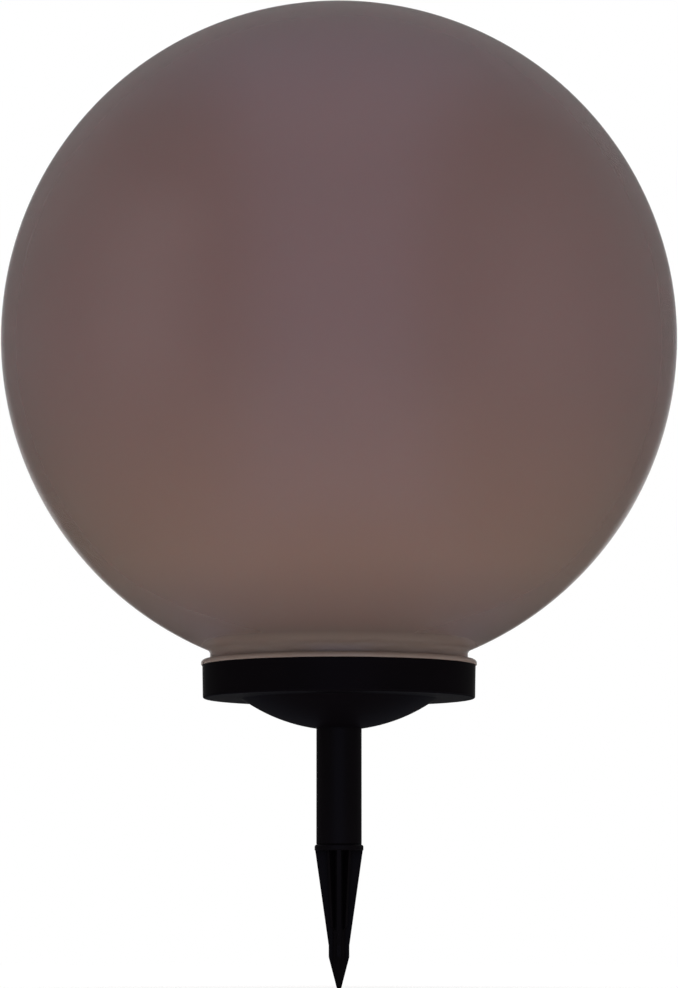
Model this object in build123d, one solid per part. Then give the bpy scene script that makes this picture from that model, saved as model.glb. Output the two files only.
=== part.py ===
from build123d import *

from math import cos, degrees, radians, sin, sqrt
import os

# Garden globe light, in millimetres, +Z up. A smoke-tinted globe twists into a black base, which stands on a
# short pole, and a four-winged spike under the pole goes into the soil. The origin is on the light's axis at
# ground level, where the pole's lower end stands on the spike's flange.

# ---- Fits, shared by all pieces
RUN_FIT = 0.05  # radial clearance where one piece slides in another
MOULD_GAP = 0.4  # clearance between moulded pieces that pass each other
SCREW_FIT = 0.05  # radial clearance of a screw in its drilled boss
SEAT_GAP = 0.1  # clearance under and round pieces that lie in a pocket

# ---- Globe: one blown shell with its neck, flange, spigot and bayonet lugs
GLOBE_RADIUS = 251.6
GLOBE_WALL = 2.5
NECK_RADIUS = 95.5
NECK_HEIGHT = 6.5  # from the flange to where the sphere begins
NECK_ROUND = 2.5
FLANGE_HEIGHT = 4.1
FLANGE_OVERHANG = 1.0  # beyond the base's wall
FLANGE_ROUND = 2.6
FLANGE_EDGE = 0.8
LUG_COUNT = 3
LUG_ARC = 20.0  # degrees
LUG_REACH = 2.8  # beyond the spigot
LUG_HEIGHT = 2.5
LUG_PLAY = 0.2  # between a lug and the ledge above it
SPIGOT_TAIL = 1.0  # spigot below its lugs
GASKET_HEIGHT = 2.0
TWIST_ARC = 30.0  # degrees from locked to free

# ---- Base housing: cup, dome under it, and pole socket, one moulding
CUP_HEIGHT = 24.6
CUP_WALL = 2.5
CUP_DRAFT = 1.0  # degrees
CUP_EDGE = 1.5
UNDERSIDE_WIDTH = 29.1  # flat ring round the dome
DOME_DROP = 23.2
DOME_EDGE = 1.2
LEDGE_ARC = 28.0  # degrees
LEDGE_HEIGHT = 2.5
STOP_ARC = 2.5  # degrees
SOCKET_WALL = 2.5
RIB_COUNT = 8
RIB_THICKNESS = 2.0
BOSS_WALL = 2.0  # plastic round a screw

# ---- Pole
POLE_RADIUS = 16.75
POLE_WALL = 2.0
POLE_STANDOUT = 84.4  # from the flange to the lowest point of the dome
POLE_INSERT = 30.0  # inside the socket
POLE_EDGE = 0.6

# ---- Ground spike
SPIKE_FLANGE_STEP = 1.3  # beyond the pole
SPIKE_FLANGE_HEIGHT = 4.5
SPIKE_FLANGE_ROUND = 1.8
PLUG_HEIGHT = 22.0
PLUG_WALL = 2.0
PLUG_LEAD = 1.0  # chamfer
WING_COUNT = 4
WING_THICKNESS = 3.0
WING_STEP = 0.5  # from the flange's rim to the wing's
TAPER_LENGTH = 69.7
KNEE_RADIUS = 7.6
KNEE_LENGTH = 8.3
POINT_LENGTH = 23.1
TIP_RADIUS = 1.6
CORE_RADIUS = 5.0
FIN_THICKNESS = 2.2  # short fins between the wings
FIN_RADIUS = 11.5
FIN_LENGTH = 56.0

# ---- Light drum: the cover over the electronics, inside the globe's neck
DRUM_GAP = 5.0  # from the neck's inside
DRUM_WALL = 2.0
DRUM_TOP = 2.5
DRUM_HEIGHT = 44.4
DRUM_EDGE = 4.5
DRUM_TAB_HEIGHT = 3.0
DRUM_SCREW_COUNT = 3
DRUM_SCREW_TURN = 80.0  # degrees from a bayonet ledge to the next drum screw
DRUM_SCREW_OUT = 5.0  # screw axis beyond the drum's wall
GROOVE_GAP = 0.3  # each side of the drum's rim
GROOVE_DEPTH = 1.2
GROOVE_RIB = 1.1
GROOVE_HEIGHT = 2.5
SEAL_HEIGHT = 1.0

# ---- Solar panel on the drum
PANEL_CORNER_GAP = 12.0  # from the tray's corners to the drum's wall
PANEL_HEIGHT = 3.0
PANEL_PROUD = 0.5
PANEL_FRAME = 3.0
PANEL_GAP = 0.3
TRAY_WALL = 2.0
CELL_COUNT = 10
CELL_GAP = 0.5
CELL_HEIGHT = 0.3
CELL_DROP = 0.6

# ---- Ring board with its light-emitting diodes
RING_BOARD_GAP = 3.0  # from the drum's wall
RING_BOARD_WIDTH = 21.0
BOARD_HEIGHT = 1.6
BOARD_CLEARANCE = 1.0  # under the tray
LED_RADIUS = 2.5
LED_BODY = 6.1  # straight part, below its domed end
LED_COLLAR = 0.4
LED_COLLAR_HEIGHT = 1.0
LED_INSET = 16.0  # from the drum's outside
LED_TURN = 15.0  # degrees each side of the panel's middle lines
LED_HOLE_GAP = 0.2

# ---- Control board
CONTROL_LENGTH = 44.0
CONTROL_WIDTH = 28.0
CONTROL_STAND = 4.0
CONTROL_OUT = 6.7  # from the pole socket
CONTROL_SCREW_INSET = 5.0

CONNECTOR = (7.5, 5.0, 6.0)  # length, width, height
CONNECTOR_PITCH = 14.0
CHIP = (6.2, 5.0, 1.6)
COIL_RADIUS = 3.5
COIL_HEIGHT = 5.0
CAPACITOR_RADIUS = 3.0
CAPACITOR_HEIGHT = 9.0

# ---- Battery holder and its two cells
CELL_AA_RADIUS = 7.1
CELL_AA_LENGTH = 49.3
NUB_RADIUS = 2.6
NUB_HEIGHT = 1.2
AA_PITCH = 15.2
HOLDER_WALL = 1.6
HOLDER_HEIGHT = 12.0
HOLDER_OUT = 12.0  # from the pole socket
CONTACT_SHEET = 0.4
CONTACT_SPRING = 1.6  # how far a leaf spring bows
CONTACT_TAIL = 4.0

# ---- Slide switch, worked from below
SWITCH_LENGTH = 13.0
SWITCH_WIDTH = 6.5
SWITCH_HEIGHT = 6.0
SWITCH_EAR = 5.5
SWITCH_PLATE = 0.6
SWITCH_STAND = 2.0
SWITCH_INSET = 2.0  # from the sealing groove
SWITCH_TRAVEL = 4.0
KNOB_LENGTH = 5.0
KNOB_WIDTH = 3.4
KNOB_RECESS = 0.4  # above the underside
KNOB_STEM = 2.4
STEM_REACH = 1.8  # into the switch
POCKET_DEPTH = 1.0  # of the finger pocket round the knob
POCKET_RIM = 2.5  # from the knob's slot to the pocket's edge

# ---- Screws: shank radius, head radius, head height
DRUM_SCREW = (1.45, 2.8, 2.0)
BOARD_SCREW = (1.1, 2.1, 1.5)
SWITCH_SCREW = (0.9, 1.8, 1.2)
SCREW_SLOT = 0.7  # width and depth of the driver's slot
SCREW_SKIN = 1.2  # plastic left under a drilled boss
SCREW_END = 0.4  # free depth past a screw's end
BOARD_BITE = 4.4  # of the screws that hold the control board and the battery holder

# ---- Leads
LEAD_WIDTH = 2.8
LEAD_THICKNESS = 1.4
LEAD_BEND = 4.0
LEAD_RISE = 8.0

# ---- Heights and radii that follow
dome_bottom_z = POLE_STANDOUT
floor_z = dome_bottom_z + DOME_DROP
floor_top_z = floor_z + CUP_WALL
rim_z = floor_z + CUP_HEIGHT
flange_top_z = rim_z + FLANGE_HEIGHT
neck_top_z = flange_top_z + NECK_HEIGHT
globe_z = neck_top_z + sqrt(GLOBE_RADIUS**2 - NECK_RADIUS**2)
neck_in_r = NECK_RADIUS - GLOBE_WALL

ledge_top_z = rim_z - GASKET_HEIGHT
ledge_z = ledge_top_z - LEDGE_HEIGHT
lug_top_z = ledge_z - LUG_PLAY
lug_z = lug_top_z - LUG_HEIGHT
spigot_z = lug_z - SPIGOT_TAIL
lug_r = NECK_RADIUS + LUG_REACH
ledge_r = NECK_RADIUS + MOULD_GAP

cup_in_r = lug_r + MOULD_GAP
cup_out_r = cup_in_r + CUP_WALL
flange_r = cup_out_r + FLANGE_OVERHANG
dome_r = cup_out_r - UNDERSIDE_WIDTH
dome_sphere = (dome_r**2 + DOME_DROP**2) / (2 * DOME_DROP)
dome_centre_z = dome_bottom_z + dome_sphere

socket_r = POLE_RADIUS + RUN_FIT
socket_out_r = socket_r + SOCKET_WALL
pole_top_z = dome_bottom_z + POLE_INSERT
socket_top_z = pole_top_z + SOCKET_WALL
pole_in_r = POLE_RADIUS - POLE_WALL

drum_r = neck_in_r - DRUM_GAP
drum_in_r = drum_r - DRUM_WALL
groove_top_z = floor_top_z + GROOVE_HEIGHT
groove_floor_z = groove_top_z - GROOVE_DEPTH
groove_in_r = drum_in_r - GROOVE_GAP
groove_out_r = drum_r + GROOVE_GAP
drum_z = groove_floor_z + SEAL_HEIGHT
drum_top_z = drum_z + DRUM_HEIGHT
tab_z = groove_top_z + 3 * SEAT_GAP
drum_screw_r = drum_r + DRUM_SCREW_OUT

tray_floor_z = drum_top_z + PANEL_PROUD - PANEL_HEIGHT
tray_z = tray_floor_z - TRAY_WALL
tray_half = (drum_in_r - PANEL_CORNER_GAP) / sqrt(2)
panel_half = tray_half - TRAY_WALL - PANEL_GAP
ring_board_r = drum_in_r - RING_BOARD_GAP
ring_board_in_r = ring_board_r - RING_BOARD_WIDTH
ring_board_top_z = tray_z - BOARD_CLEARANCE
ring_board_z = ring_board_top_z - BOARD_HEIGHT
ring_screw_r = (tray_half * sqrt(2) + ring_board_r) / 2
led_ring_r = drum_r - LED_INSET

control_x = socket_out_r + CONTROL_OUT + CONTROL_LENGTH / 2
control_z = floor_top_z + CONTROL_STAND
control_top_z = control_z + BOARD_HEIGHT
control_screw_x = CONTROL_LENGTH / 2 - CONTROL_SCREW_INSET
connector_row = CONTROL_WIDTH / 2 - CONNECTOR[1]

holder_in_half_y = AA_PITCH / 2 + CELL_AA_RADIUS + SEAT_GAP
holder_half_y = holder_in_half_y + HOLDER_WALL
cell_half_x = (CELL_AA_LENGTH + NUB_HEIGHT) / 2
holder_in_half_x = cell_half_x + (CONTACT_SPRING + 2 * CONTACT_SHEET) / 2
holder_half_x = holder_in_half_x + HOLDER_WALL
holder_y = -(socket_out_r + HOLDER_OUT + holder_half_y)
holder_floor_z = floor_top_z + HOLDER_WALL
cell_axis_z = holder_floor_z + SEAT_GAP + CELL_AA_RADIUS

switch_y = groove_in_r - GROOVE_RIB - SWITCH_INSET - SWITCH_WIDTH / 2
switch_z = floor_top_z + SWITCH_STAND
switch_screw_x = SWITCH_LENGTH / 2 + SWITCH_EAR / 2

drum_bite = tab_z - floor_z - SCREW_SKIN - SCREW_END
switch_bite = switch_z - floor_z - SCREW_SKIN - SCREW_END
ring_board_bite = drum_top_z - SCREW_SKIN - SCREW_END - ring_board_top_z


def outline(*edges):
    """A closed flat face, drawn as (radius, height)."""
    return make_face(Curve() + list(edges))


def rounded(face, *corners):
    """The face with some corners rounded; each corner is a point and its radius."""
    for point, radius in corners:
        face = fillet(face.vertices().sort_by_distance(point)[0], radius)
    return face


def turned(face, arc=360):
    """The solid that an outline sweeps about the light's axis."""
    return revolve(Plane.XZ * face, Axis.Z, revolution_arc=arc)


def band(inner_r, outer_r, low_z, high_z):
    """The outline of a plain ring."""
    middle = ((inner_r + outer_r) / 2, (low_z + high_z) / 2)
    return Pos(*middle) * Rectangle(outer_r - inner_r, high_z - low_z)


def ring(inner_r, outer_r, low_z, high_z):
    """A plain ring about the light's axis."""
    return turned(band(inner_r, outer_r, low_z, high_z))


def sector(inner_r, outer_r, low_z, high_z, start, end):
    """A piece of such a ring, between two angles in degrees."""
    return Rot(Z=start) * turned(band(inner_r, outer_r, low_z, high_z), end - start)


def post(x, y, radius, low_z, high_z):
    """An upright cylinder."""
    return Pos(x, y, (low_z + high_z) / 2) * Cylinder(radius, high_z - low_z)


def block(x, y, low_z, length, width, height):
    """A box on a level, centred on a point."""
    return Pos(x, y, low_z + height / 2) * Box(length, width, height)


def polar(radius, angle):
    """The x and y of a point at an angle in degrees."""
    return radius * cos(radians(angle)), radius * sin(radians(angle))


def round_places(radius, count, first=0.0):
    """Evenly spaced points on a circle."""
    return [polar(radius, first + 360 / count * i) for i in range(count)]


def fused(pieces):
    """One solid of several."""
    first, *rest = pieces
    return first + rest


def sphere_point(radius, sphere, centre_z):
    """The point of a sphere's lower half at a distance from the axis."""
    return radius, centre_z - sqrt(sphere**2 - radius**2)


def screw(kind, x, y, seat_z, length, up=1):
    """A slotted screw whose head stands on a level; up is -1 for one driven from below."""
    shank_r, head_r, head_height = kind
    side = band(0, head_r, 0, head_height)
    head = chamfer(side.vertices().sort_by_distance((head_r, head_height))[0], head_height / 3)
    slot = Pos(0, 0, head_height - SCREW_SLOT / 2) * Box(2 * head_r, SCREW_SLOT, SCREW_SLOT)
    body = turned(head) + turned(band(0, shank_r, -length, 0)) - slot
    return Pos(x, y, seat_z) * (body if up > 0 else Rot(X=180) * body)


# ---- Globe


def make_globe():
    """The shell, turned about the axis, with bayonet lugs round its spigot."""
    inner_sphere = GLOBE_RADIUS - GLOBE_WALL
    start = sphere_point(NECK_RADIUS, GLOBE_RADIUS, globe_z)
    inner_start = sphere_point(neck_in_r, inner_sphere, globe_z)
    top = (0, globe_z + GLOBE_RADIUS)
    inner_top = (0, globe_z + inner_sphere)
    neck = Polyline(
        inner_start,
        (neck_in_r, spigot_z),
        (NECK_RADIUS, spigot_z),
        (NECK_RADIUS, rim_z),
        (flange_r, rim_z),
        (flange_r, flange_top_z),
        (NECK_RADIUS, flange_top_z),
        start,
    )
    shell = outline(
        neck,
        ThreePointArc(start, (GLOBE_RADIUS, globe_z), top),
        Line(top, inner_top),
        ThreePointArc(inner_top, (inner_sphere, globe_z), inner_start),
    )
    shell = rounded(
        shell,
        (start, NECK_ROUND),
        ((flange_r, flange_top_z), FLANGE_ROUND),
        ((flange_r, rim_z), FLANGE_EDGE),
    )
    lugs = [
        sector(NECK_RADIUS - GLOBE_WALL / 2, lug_r, lug_z, lug_top_z, turn - LUG_ARC / 2, turn + LUG_ARC / 2)
        for turn in bayonet_turns()
    ]
    return fused([turned(shell), *lugs])


def bayonet_turns():
    """The angles of the bayonet's lugs in the locked globe."""
    return [360 / LUG_COUNT * i for i in range(LUG_COUNT)]


def make_gasket():
    """Rubber ring on the spigot, squeezed between the flange and the ledges."""
    return ring(NECK_RADIUS + SEAT_GAP, cup_in_r - MOULD_GAP, ledge_top_z, rim_z)


# ---- Base housing


def dome_point(radius, depth=0.0):
    """A point of the dome's outside, or of the surface at a depth inside it."""
    return sphere_point(radius, dome_sphere - depth, dome_centre_z)


def dome_arc(outer_r, inner_r, depth=0.0):
    """The dome's curve between two distances from the axis."""
    middle = (outer_r + inner_r) / 2
    return ThreePointArc(*(dome_point(r, depth) for r in (outer_r, middle, inner_r)))


def dome_reach(height_z, depth):
    """How far from the axis the dome is at a height."""
    return sqrt((dome_sphere - depth) ** 2 - (dome_centre_z - height_z) ** 2)


def housing_shell():
    """Cup wall, flat underside, dome and closed pole socket in one outline."""
    low_r = cup_out_r - CUP_HEIGHT * sin(radians(CUP_DRAFT))
    dome_in_r = dome_reach(floor_top_z, CUP_WALL)
    shell = outline(
        Polyline(dome_point(dome_r), (low_r, floor_z), (cup_out_r, rim_z), (cup_in_r, rim_z)),
        Polyline((cup_in_r, rim_z), (cup_in_r, floor_top_z), (dome_in_r, floor_top_z)),
        dome_arc(dome_in_r, socket_out_r, CUP_WALL),
        Polyline(
            dome_point(socket_out_r, CUP_WALL),
            (socket_out_r, socket_top_z),
            (0, socket_top_z),
            (0, pole_top_z),
            (socket_r, pole_top_z),
            dome_point(socket_r),
        ),
        dome_arc(socket_r, dome_r),
    )
    shell = rounded(shell, ((low_r, floor_z), CUP_EDGE), (dome_point(dome_r), DOME_EDGE))
    return turned(shell)


def dome_hollow():
    """The space under the floor's level, reaching half into the dome's and the socket's walls."""
    depth = CUP_WALL / 2
    inner_r = socket_r + SOCKET_WALL / 2
    outer_r = dome_reach(floor_top_z, depth)
    return turned(
        outline(
            dome_arc(outer_r, inner_r, depth),
            Polyline(dome_point(inner_r, depth), (inner_r, floor_top_z), (outer_r, floor_top_z)),
        )
    )


def socket_ribs():
    """Upright ribs from the pole socket to the dome."""
    length = 2 * dome_r
    plates = [
        Rot(Z=180 / RIB_COUNT * 2 * i) * block(0, 0, dome_bottom_z, length, RIB_THICKNESS, floor_top_z)
        for i in range(RIB_COUNT // 2)
    ]
    return [fused(plates) & dome_hollow()]


def stands():
    """Every screw boss on the housing: x, y, top level, screw, and how deep the screw bites."""
    drum = [(x, y, tab_z, DRUM_SCREW, drum_bite) for x, y in drum_screw_places()]
    boards = [(x, 0, control_z, BOARD_SCREW, BOARD_BITE) for x in control_screw_places()]
    holder = [(x, holder_y, floor_top_z, BOARD_SCREW, BOARD_BITE) for x in holder_screw_places()]
    switch = [(x, switch_y, switch_z, SWITCH_SCREW, switch_bite) for x in switch_screw_places()]
    return drum + boards + holder + switch


def drum_screw_places():
    return round_places(drum_screw_r, DRUM_SCREW_COUNT, DRUM_SCREW_TURN)


def control_screw_places():
    return [control_x - control_screw_x, control_x + control_screw_x]


def holder_screw_places():
    return [-holder_in_half_x / 2, holder_in_half_x / 2]


def switch_screw_places():
    return [-switch_screw_x, switch_screw_x]


def housing_bosses():
    """The bosses, on the floor or down to the dome, before they are drilled."""
    hollow = dome_hollow()
    bosses = []
    for x, y, top_z, kind, _ in stands():
        radius = kind[0] + BOSS_WALL
        if sqrt(x**2 + y**2) < dome_r - radius:
            bosses.append(post(x, y, radius, dome_bottom_z, floor_top_z) & hollow)
        if top_z > floor_top_z:
            bosses.append(post(x, y, radius, floor_top_z - CUP_WALL / 2, top_z))
    return bosses


def housing_drillings():
    """Blind screw holes down from each boss's top."""
    return [
        post(x, y, kind[0] + SCREW_FIT, top_z - bite - SCREW_END, top_z)
        for x, y, top_z, kind, bite in stands()
    ]


def bayonet_ledges():
    """Ledges that hold the lugs down, each with a stop at both ends of the twist."""
    pieces = []
    outer_r = cup_in_r + CUP_WALL / 2
    play = degrees(MOULD_GAP / lug_r)
    for turn in bayonet_turns():
        shut = turn - LUG_ARC / 2 - play
        free = turn + TWIST_ARC + LUG_ARC / 2 + play
        pieces.append(sector(ledge_r, outer_r, ledge_z, ledge_top_z, shut - STOP_ARC, turn + LEDGE_ARC / 2))
        pieces.append(sector(ledge_r, outer_r, lug_z, ledge_z, shut - STOP_ARC, shut))
        pieces.append(sector(ledge_r, outer_r, lug_z, ledge_z, free, free + STOP_ARC))
    return pieces


def sealing_groove():
    """Raised ring on the floor with the groove that takes the drum's rim."""
    raised = ring(groove_in_r - GROOVE_RIB, groove_out_r + GROOVE_RIB, floor_z + CUP_WALL / 2, groove_top_z)
    return raised - ring(groove_in_r, groove_out_r, groove_floor_z, groove_top_z)


def switch_opening():
    """Finger pocket in the underside, and the slot that the switch's knob slides in."""
    slot_length = KNOB_LENGTH + SWITCH_TRAVEL + 2 * MOULD_GAP
    slot_width = KNOB_WIDTH + 2 * MOULD_GAP
    pocket_length = slot_length + 2 * POCKET_RIM
    pocket_width = slot_width + 2 * POCKET_RIM
    pocket = block(0, switch_y, floor_z, pocket_length, pocket_width, POCKET_DEPTH)
    pocket = fillet(pocket.edges().filter_by(Axis.Z), POCKET_RIM)
    return pocket + block(0, switch_y, floor_z, slot_length, slot_width, CUP_WALL)


def make_base_housing():
    """The whole moulding, drilled last."""
    pieces = [housing_shell(), *socket_ribs(), *housing_bosses(), *bayonet_ledges(), sealing_groove()]
    return fused(pieces) - fused(housing_drillings()) - switch_opening()


# ---- Pole and spike


def make_pole():
    """Plain tube, its outer edges broken at both ends."""
    wall = band(pole_in_r, POLE_RADIUS, 0, pole_top_z)
    edges = [((POLE_RADIUS, z), POLE_EDGE) for z in (0, pole_top_z)]
    return turned(rounded(wall, *edges))


def spike_profile():
    """Half outline of the wings: taper, parallel knee and point."""
    top_z = -SPIKE_FLANGE_HEIGHT / 2
    knee_z = -SPIKE_FLANGE_HEIGHT - TAPER_LENGTH
    point_z = knee_z - KNEE_LENGTH
    wing_r = POLE_RADIUS + SPIKE_FLANGE_STEP - WING_STEP
    return outline(
        Polyline(
            (0, top_z),
            (wing_r, top_z),
            (wing_r, -SPIKE_FLANGE_HEIGHT),
            (KNEE_RADIUS, knee_z),
            (KNEE_RADIUS, point_z),
            (TIP_RADIUS, point_z - POINT_LENGTH),
            (0, point_z - POINT_LENGTH),
            close=True,
        )
    )


def spike_core():
    """Cone in the middle of the wings, down to the point's tip."""
    tip_z = -SPIKE_FLANGE_HEIGHT - TAPER_LENGTH - KNEE_LENGTH - POINT_LENGTH
    return turned(
        outline(Polyline((0, 0), (CORE_RADIUS, 0), (CORE_RADIUS, tip_z), (0, tip_z), close=True))
    ) & turned(spike_profile())


def spike_wings():
    """Four wings that run the whole length."""
    wings = []
    for i in range(WING_COUNT):
        wing = extrude(Plane.XZ * spike_profile(), WING_THICKNESS / 2, both=True)
        wings.append(Rot(Z=360 / WING_COUNT * i) * wing)
    return wings


def spike_fins():
    """Shorter fins between the wings, ending above the knee."""
    low_z = -SPIKE_FLANGE_HEIGHT - FIN_LENGTH
    shape = outline(
        Polyline(
            (0, -SPIKE_FLANGE_HEIGHT / 2),
            (FIN_RADIUS, -SPIKE_FLANGE_HEIGHT / 2),
            (KNEE_RADIUS, low_z),
            (CORE_RADIUS / 2, low_z - CORE_RADIUS),
            (0, low_z - CORE_RADIUS),
            close=True,
        )
    )
    fin = extrude(Plane.XZ * shape, FIN_THICKNESS / 2, both=True)
    return [Rot(Z=360 / WING_COUNT * (i + 0.5)) * fin for i in range(WING_COUNT)]


def make_spike():
    """Plug for the pole, flange that stops at the soil, wings, fins and core."""
    flange_out_r = POLE_RADIUS + SPIKE_FLANGE_STEP
    plug_r = pole_in_r - RUN_FIT
    flange = rounded(
        band(0, flange_out_r, -SPIKE_FLANGE_HEIGHT, 0),
        ((flange_out_r, 0), SPIKE_FLANGE_ROUND),
        ((flange_out_r, -SPIKE_FLANGE_HEIGHT), SPIKE_FLANGE_ROUND / 2),
    )
    plug = outline(
        Polyline(
            (plug_r - PLUG_WALL, -SPIKE_FLANGE_HEIGHT / 2),
            (plug_r, -SPIKE_FLANGE_HEIGHT / 2),
            (plug_r, PLUG_HEIGHT - PLUG_LEAD),
            (plug_r - PLUG_LEAD, PLUG_HEIGHT),
            (plug_r - PLUG_WALL, PLUG_HEIGHT),
            close=True,
        )
    )
    return fused([turned(flange), turned(plug), spike_core(), *spike_wings(), *spike_fins()])


# ---- Light drum


def drum_tabs():
    """Ears at the drum's foot, each drilled for a screw."""
    radius = DRUM_SCREW[1] + BOSS_WALL / 2
    tabs = []
    for i in range(DRUM_SCREW_COUNT):
        ear = post(drum_screw_r, 0, radius, tab_z, tab_z + DRUM_TAB_HEIGHT)
        start = drum_r - DRUM_WALL / 2
        middle = (start + drum_screw_r) / 2
        web = block(middle, 0, tab_z, drum_screw_r - start, 2 * radius, DRUM_TAB_HEIGHT)
        hole = post(drum_screw_r, 0, DRUM_SCREW[0] + MOULD_GAP, tab_z, tab_z + DRUM_TAB_HEIGHT)
        tabs.append(Rot(Z=DRUM_SCREW_TURN + 360 / DRUM_SCREW_COUNT * i) * (ear + web - hole))
    return tabs


def led_places():
    """Two diodes at each side of the solar panel."""
    return [polar(led_ring_r, side + turn) for side in (0, 90, 180, 270) for turn in (-LED_TURN, LED_TURN)]


def ring_screw_places():
    return round_places(ring_screw_r, 4, 45.0)


def panel_lead_place():
    """Where the panel's lead passes through the tray."""
    return socket_r / 2, LEAD_WIDTH


def make_light_drum():
    """Inverted cup with a tray for the solar panel, holes for the diodes, bosses and ears."""
    wall = outline(
        Polyline(
            (drum_in_r, drum_z),
            (drum_r, drum_z),
            (drum_r, drum_top_z),
            (0, drum_top_z),
            (0, drum_top_z - DRUM_TOP),
            (drum_in_r, drum_top_z - DRUM_TOP),
            close=True,
        )
    )
    inner_corner = (drum_in_r, drum_top_z - DRUM_TOP)
    cover = turned(rounded(wall, ((drum_r, drum_top_z), DRUM_EDGE), (inner_corner, DRUM_EDGE - DRUM_WALL)))
    tray = block(0, 0, tray_z, 2 * tray_half, 2 * tray_half, drum_top_z - DRUM_TOP / 2 - tray_z)
    pocket_side = 2 * (panel_half + PANEL_GAP)
    pocket = block(0, 0, tray_floor_z, pocket_side, pocket_side, PANEL_HEIGHT)
    posts = [
        post(x, y, BOARD_SCREW[0] + BOSS_WALL, ring_board_top_z, drum_top_z - DRUM_TOP / 2)
        for x, y in ring_screw_places()
    ]
    holes = [post(x, y, LED_RADIUS + LED_HOLE_GAP, tray_z, drum_top_z) for x, y in led_places()]
    drilled_z = ring_board_top_z + ring_board_bite + SCREW_END
    holes += [
        post(x, y, BOARD_SCREW[0] + SCREW_FIT, ring_board_top_z, drilled_z)
        for x, y in ring_screw_places()
    ]
    holes.append(post(*panel_lead_place(), LEAD_WIDTH, tray_z, tray_floor_z))
    return fused([cover, tray, *posts, *drum_tabs()]) - pocket - fused(holes)


def make_drum_seal():
    """Flat rubber ring in the groove under the drum's rim."""
    return ring(groove_in_r + SEAT_GAP, groove_out_r - SEAT_GAP, groove_floor_z, drum_z)


def make_drum_screws():
    seat_z = tab_z + DRUM_TAB_HEIGHT
    return [screw(DRUM_SCREW, x, y, seat_z, DRUM_TAB_HEIGHT + drum_bite) for x, y in drum_screw_places()]


# ---- Solar panel


def make_solar_panel():
    """Laminate with a shallow well for the cells."""
    well_half = panel_half - PANEL_FRAME
    top_z = tray_floor_z + PANEL_HEIGHT
    plate = block(0, 0, tray_floor_z, 2 * panel_half, 2 * panel_half, PANEL_HEIGHT)
    return plate - block(0, 0, top_z - CELL_DROP, 2 * well_half, 2 * well_half, CELL_DROP)


def make_solar_cells():
    """Strips of silicon, side by side in the well."""
    side = 2 * (panel_half - PANEL_FRAME) - 2 * CELL_GAP
    pitch = (side + CELL_GAP) / CELL_COUNT
    low_z = tray_floor_z + PANEL_HEIGHT - CELL_DROP
    first = -(CELL_COUNT - 1) / 2 * pitch
    return [
        block(first + pitch * i, 0, low_z, pitch - CELL_GAP, side, CELL_HEIGHT) for i in range(CELL_COUNT)
    ]


# ---- Ring board and diodes


def make_ring_board():
    """Ring-shaped circuit board under the drum's top."""
    board = ring(ring_board_in_r, ring_board_r, ring_board_z, ring_board_top_z)
    holes = [
        post(x, y, BOARD_SCREW[0] + SCREW_FIT, ring_board_z, ring_board_top_z)
        for x, y in ring_screw_places()
    ]
    return board - fused(holes)


def make_leds():
    """Domed diodes that stand on the ring board and look out through the drum's top."""
    collar_r = LED_RADIUS + LED_COLLAR
    shape = outline(
        Polyline((0, 0), (collar_r, 0), (collar_r, LED_COLLAR_HEIGHT), (LED_RADIUS, LED_COLLAR_HEIGHT)),
        Line((LED_RADIUS, LED_COLLAR_HEIGHT), (LED_RADIUS, LED_BODY)),
        ThreePointArc(
            (LED_RADIUS, LED_BODY),
            (LED_RADIUS / sqrt(2), LED_BODY + LED_RADIUS / sqrt(2)),
            (0, LED_BODY + LED_RADIUS),
        ),
        Line((0, LED_BODY + LED_RADIUS), (0, 0)),
    )
    return [Pos(x, y, ring_board_top_z) * turned(shape) for x, y in led_places()]


def make_ring_board_screws():
    length = BOARD_HEIGHT + ring_board_bite
    return [screw(BOARD_SCREW, x, y, ring_board_z, length, up=-1) for x, y in ring_screw_places()]


# ---- Control board


def connector_places():
    """Where each lead's connector stands on the control board."""
    return {
        "panel": (control_x - CONNECTOR_PITCH, connector_row),
        "ring_board": (control_x, connector_row),
        "switch": (control_x + CONNECTOR_PITCH, connector_row),
        "battery": (control_x - CONNECTOR_PITCH, -connector_row),
    }


def make_control_board():
    """Board on two bosses beside the pole socket."""
    board = block(control_x, 0, control_z, CONTROL_LENGTH, CONTROL_WIDTH, BOARD_HEIGHT)
    holes = [
        post(x, 0, BOARD_SCREW[0] + SCREW_FIT, control_z, control_top_z) for x in control_screw_places()
    ]
    return board - fused(holes)


def make_board_parts():
    """Lead connectors, charging chip, coil and capacitor on the control board."""
    parts = [block(*place, control_top_z, *CONNECTOR) for place in connector_places().values()]
    chip = block(control_x, 0, control_top_z, *CHIP)
    coil = post(control_x, -connector_row, COIL_RADIUS, control_top_z, control_top_z + COIL_HEIGHT)
    capacitor_x = control_x + CONNECTOR_PITCH - CAPACITOR_RADIUS
    capacitor = post(
        capacitor_x, -connector_row, CAPACITOR_RADIUS, control_top_z, control_top_z + CAPACITOR_HEIGHT
    )
    return [*parts, chip, coil, capacitor]


def make_board_screws():
    length = BOARD_HEIGHT + BOARD_BITE
    return [screw(BOARD_SCREW, x, 0, control_top_z, length) for x in control_screw_places()]


# ---- Battery


def make_battery_holder():
    """Open tray for two cells, screwed down between them."""
    tray = block(0, holder_y, floor_top_z, 2 * holder_half_x, 2 * holder_half_y, HOLDER_HEIGHT)
    tray = fillet(tray.edges().filter_by(Axis.Z), HOLDER_WALL)
    inside = block(0, holder_y, holder_floor_z, 2 * holder_in_half_x, 2 * holder_in_half_y, HOLDER_HEIGHT)
    holes = [
        post(x, holder_y, BOARD_SCREW[0] + SCREW_FIT, floor_top_z, holder_floor_z)
        for x in holder_screw_places()
    ]
    return tray - inside - fused(holes)


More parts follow.
